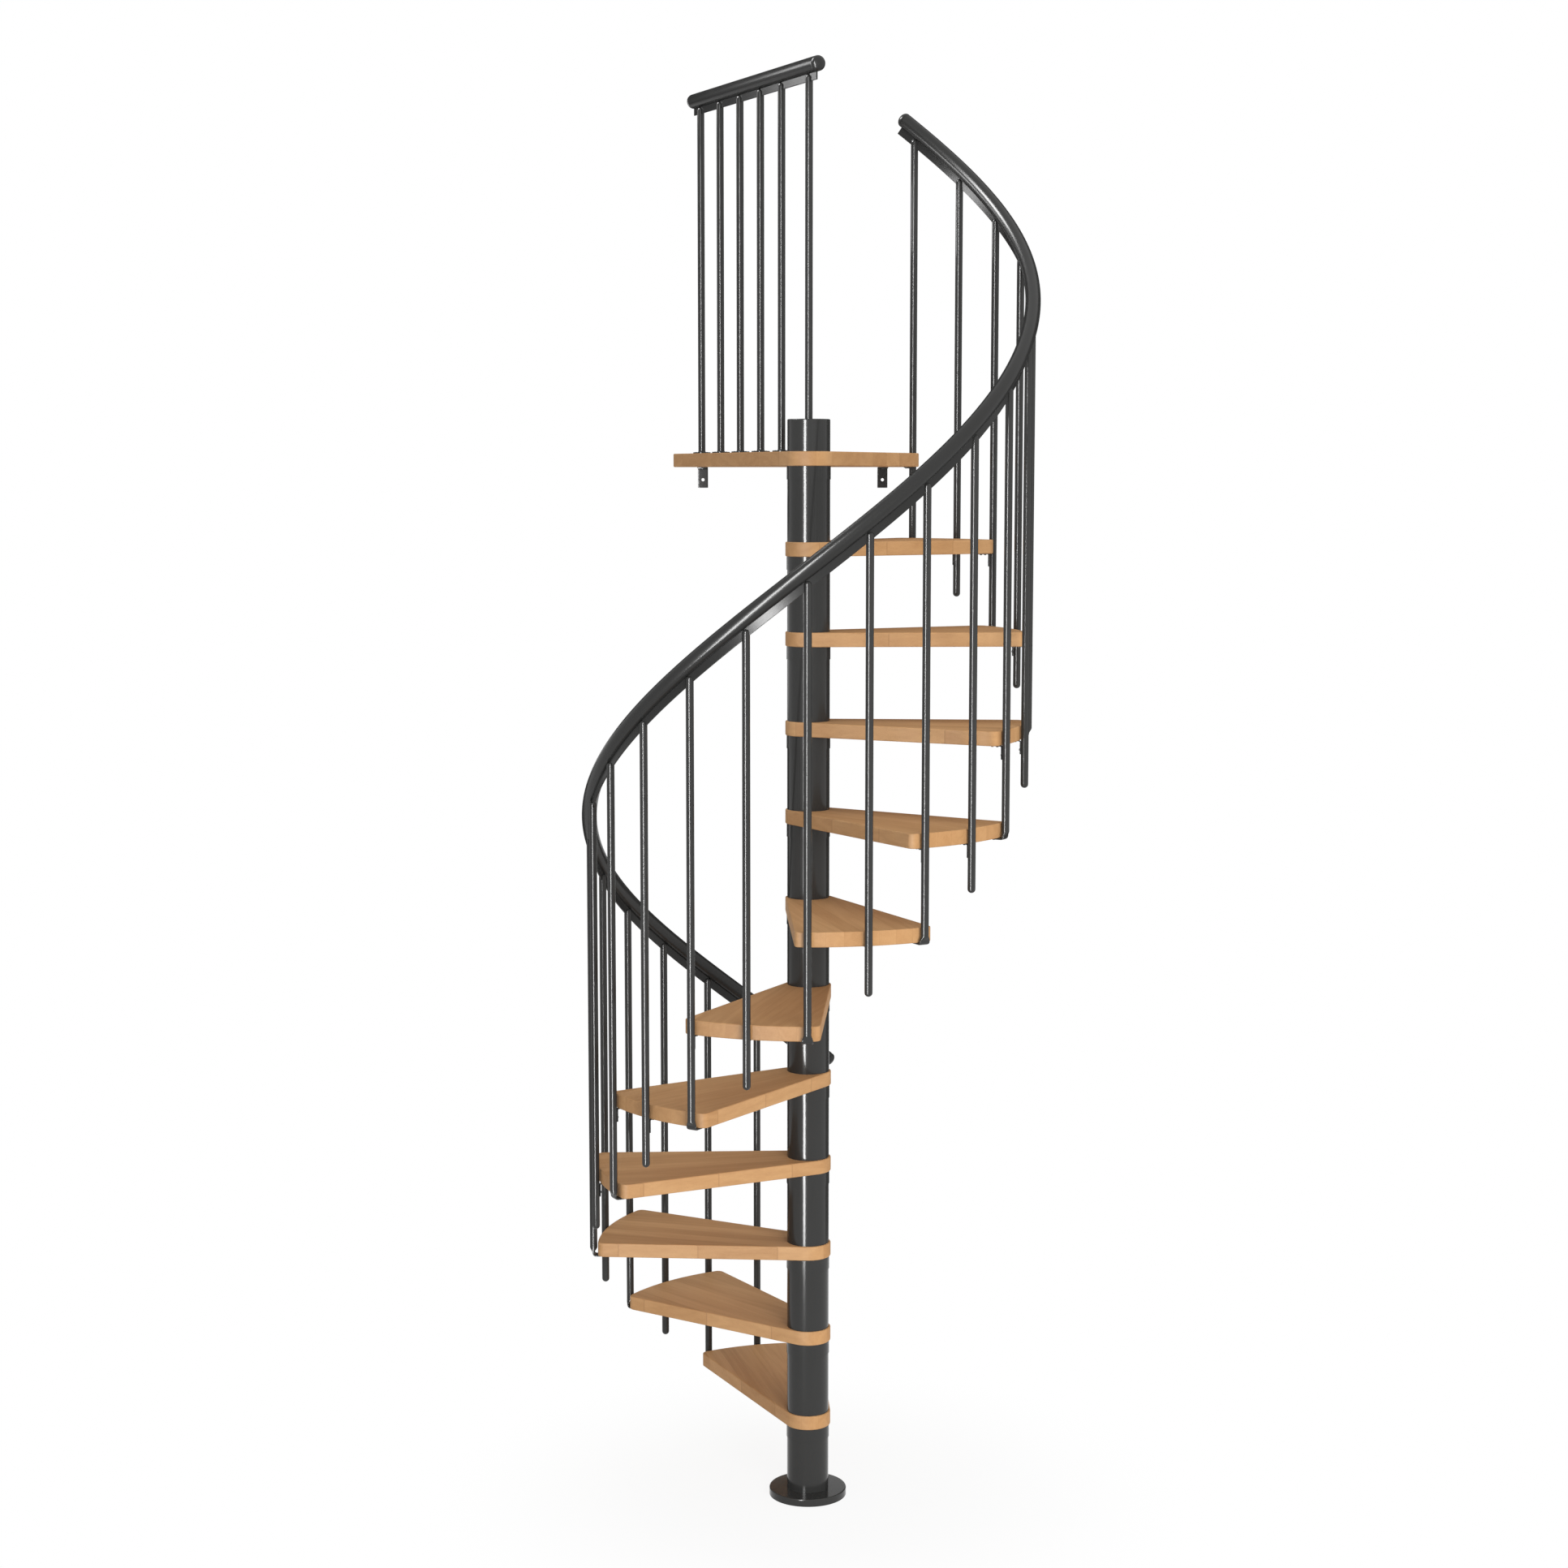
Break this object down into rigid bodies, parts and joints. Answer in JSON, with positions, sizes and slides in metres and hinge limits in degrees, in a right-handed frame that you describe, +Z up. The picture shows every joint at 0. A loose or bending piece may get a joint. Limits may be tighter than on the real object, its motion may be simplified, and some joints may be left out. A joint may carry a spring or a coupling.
{
  "type": "spiral staircase",
  "caption": "Spiral staircase with wooden wedge treads on a sleeved steel post, tubular balusters, a helical round handrail on a flat band, and a wedge landing with its own railing.",
  "frame": {"origin": "centre of the underside of the floor flange, on the post's axis", "axes": "+Z up along the post, the landing's straight back edge runs along X on the +Y side, and the flight climbs anticlockwise seen from above"},
  "size_m": [1.2043, 1.2737, 3.847],
  "materials": {
    "anthracite_steel": "satin anthracite powder coat",
    "anthracite_rail": "satin anthracite plastic",
    "beech": "satin clear lacquer on beech staves"
  },
  "bodies": {
    "root": {"floor_flange": "anthracite_steel", "centre_pole": "anthracite_steel", "sleeve_01": "anthracite_steel", "sleeve_02": "anthracite_steel", "sleeve_03": "anthracite_steel", "sleeve_04": "anthracite_steel", "sleeve_05": "anthracite_steel", "sleeve_06": "anthracite_steel", "sleeve_07": "anthracite_steel", "sleeve_08": "anthracite_steel", "sleeve_09": "anthracite_steel", "sleeve_10": "anthracite_steel", "sleeve_11": "anthracite_steel", "sleeve_12": "anthracite_steel", "post_head": "anthracite_steel", "tread_01": "beech", "tread_02": "beech", "tread_03": "beech", "tread_04": "beech", "tread_05": "beech", "tread_06": "beech", "tread_07": "beech", "tread_08": "beech", "tread_09": "beech", "tread_10": "beech", "tread_11": "beech", "landing": "beech", "balusters_01": "anthracite_steel", "balusters_02": "anthracite_steel", "balusters_03": "anthracite_steel", "balusters_04": "anthracite_steel", "balusters_05": "anthracite_steel", "balusters_06": "anthracite_steel", "balusters_07": "anthracite_steel", "balusters_08": "anthracite_steel", "balusters_09": "anthracite_steel", "balusters_10": "anthracite_steel", "balusters_11": "anthracite_steel", "tread_brackets": "anthracite_steel", "handrail": "anthracite_rail", "handrail_band": "anthracite_steel", "landing_handrail": "anthracite_rail", "landing_band": "anthracite_steel", "landing_balusters": "anthracite_steel", "wall_brackets": "anthracite_steel"}
  },
  "joints": []
}
